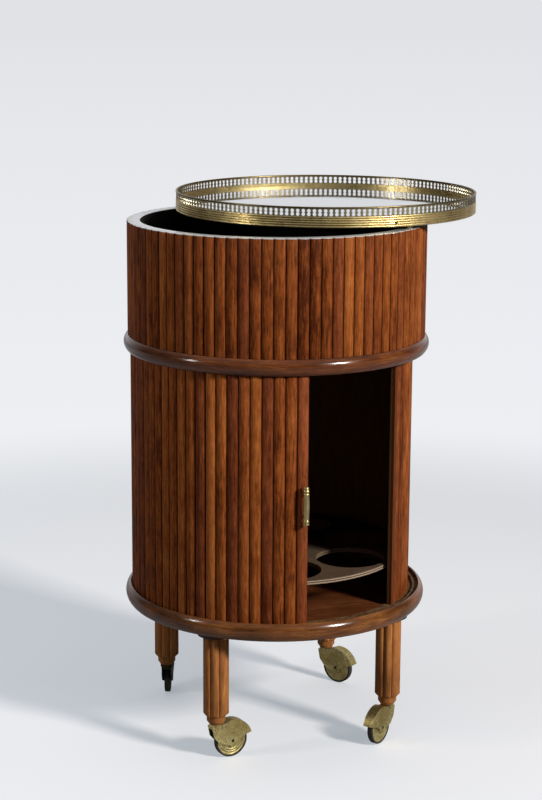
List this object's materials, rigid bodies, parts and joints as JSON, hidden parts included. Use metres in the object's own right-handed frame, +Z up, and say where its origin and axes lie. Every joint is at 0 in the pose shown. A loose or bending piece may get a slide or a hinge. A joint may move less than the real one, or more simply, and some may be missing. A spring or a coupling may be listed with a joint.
{
  "type": "round mobile bar",
  "caption": "Round rolling drinks cabinet with a galleried swing-out tray over a slatted drum, a curved sliding tambour door, a turning bottle rack and hooded casters on reeded legs.",
  "frame": {"origin": "on the floor, under the middle of the whole footprint with the tray swung out as at rest; the cabinet's own upright axis stands at x -45.7 mm, y -26.0 mm", "axes": "+Z up; -Y is the front, where the doorway is; +X is to the right seen from the front"},
  "size_m": [0.5241, 0.4884, 0.7738],
  "materials": {
    "slat_wood": "varnished reddish brown hardwood, each slat a little lighter or darker, satin",
    "moulding_wood": "polished reddish brown hardwood, glossy",
    "drum_wood": "polished dark wood",
    "red_wood": "worn red-brown stained wood",
    "black_inside": "blackened wood, matt",
    "plywood": "grey-brown plywood with a layered edge, matt",
    "track_strip": "worn pale wood",
    "backing_canvas": "dark glued canvas",
    "leg_pad": "dark stained wood",
    "gallery_brass": "aged polished brass",
    "caster_brass": "aged cast brass, speckled",
    "dark_steel": "darkened steel",
    "tray_glass": "flat mirror glass",
    "tray_base": "dark board",
    "tyre_rubber": "dark worn rubber"
  },
  "bodies": {
    "cabinet": {"base_board": "red_wood", "base_ring": "moulding_wood", "track_rail": "track_strip", "wall_panel": "drum_wood", "wall_slats": "slat_wood", "door_jambs": "red_wood", "collar": "moulding_wood", "divider": "black_inside", "drum_shell": "drum_wood", "drum_slats": "slat_wood", "leg_fl": "moulding_wood", "leg_fr": "moulding_wood", "leg_bl": "moulding_wood", "leg_br": "moulding_wood", "leg_flanges": "leg_pad", "flange_screws": "gallery_brass", "rack_spindle": "gallery_brass", "pivot_pin": "gallery_brass", "pivot_washer": "gallery_brass"},
    "door": {"door_canvas": "backing_canvas", "door_slats": "slat_wood", "door_stile": "red_wood", "door_handle": "gallery_brass", "handle_screws": "gallery_brass"},
    "rack": {"rack_floor": "red_wood", "rack_post": "black_inside", "rack_shelf": "plywood"},
    "tray": {"tray_board": "tray_base", "tray_mirror": "tray_glass", "tray_band": "gallery_brass", "tray_gallery": "gallery_brass", "band_pins": "dark_steel"},
    "caster_fl": {"caster_fl": "caster_brass", "axle_fl": "dark_steel"},
    "wheel_fl": {"wheel_fl": "caster_brass", "tyre_fl": "tyre_rubber"},
    "caster_fr": {"caster_fr": "caster_brass", "axle_fr": "dark_steel"},
    "wheel_fr": {"wheel_fr": "caster_brass", "tyre_fr": "tyre_rubber"},
    "caster_bl": {"caster_bl": "caster_brass", "axle_bl": "dark_steel"},
    "wheel_bl": {"wheel_bl": "caster_brass", "tyre_bl": "tyre_rubber"},
    "caster_br": {"caster_br": "caster_brass", "axle_br": "dark_steel"},
    "wheel_br": {"wheel_br": "caster_brass", "tyre_br": "tyre_rubber"}
  },
  "joints": [
    {"name": "door_slide", "type": "hinge", "parent": "cabinet", "child": "door", "pos_m": [-0.04567, -0.02599, 0.383], "axis": [0, 0, 1], "range_deg": [-29.1, 45.2]},
    {"name": "tray_swing", "type": "hinge", "parent": "cabinet", "child": "tray", "pos_m": [0.0947, -0.16636, 0.745], "axis": [0, 0, 1], "range_deg": [-89.3, 30.7]},
    {"name": "rack_spin", "type": "hinge", "parent": "cabinet", "child": "rack", "pos_m": [-0.04567, -0.02599, 0.2061], "axis": [0, 0, 1], "continuous": true},
    {"name": "caster_fl_swivel", "type": "hinge", "parent": "cabinet", "child": "caster_fl", "pos_m": [-0.17422, -0.15455, 0.053], "axis": [0, 0, 1], "continuous": true},
    {"name": "wheel_fl_spin", "type": "hinge", "parent": "caster_fl", "child": "wheel_fl", "pos_m": [-0.15166, -0.15004, 0.0245], "axis": [-0.1959, 0.9806, 0], "continuous": true},
    {"name": "caster_fr_swivel", "type": "hinge", "parent": "cabinet", "child": "caster_fr", "pos_m": [0.08289, -0.15455, 0.053], "axis": [0, 0, 1], "continuous": true},
    {"name": "wheel_fr_spin", "type": "hinge", "parent": "caster_fr", "child": "wheel_fr", "pos_m": [0.06459, -0.16848, 0.0245], "axis": [0.606, -0.7955, 0], "continuous": true},
    {"name": "caster_bl_swivel", "type": "hinge", "parent": "cabinet", "child": "caster_bl", "pos_m": [-0.17422, 0.10256, 0.053], "axis": [0, 0, 1], "continuous": true},
    {"name": "wheel_bl_spin", "type": "hinge", "parent": "caster_bl", "child": "wheel_bl", "pos_m": [-0.16635, 0.12417, 0.0245], "axis": [-0.9397, 0.342, 0], "continuous": true},
    {"name": "caster_br_swivel", "type": "hinge", "parent": "cabinet", "child": "caster_br", "pos_m": [0.08289, 0.10256, 0.053], "axis": [0, 0, 1], "continuous": true},
    {"name": "wheel_br_spin", "type": "hinge", "parent": "caster_br", "child": "wheel_br", "pos_m": [0.09618, 0.08379, 0.0245], "axis": [0.8161, 0.5779, 0], "continuous": true}
  ]
}
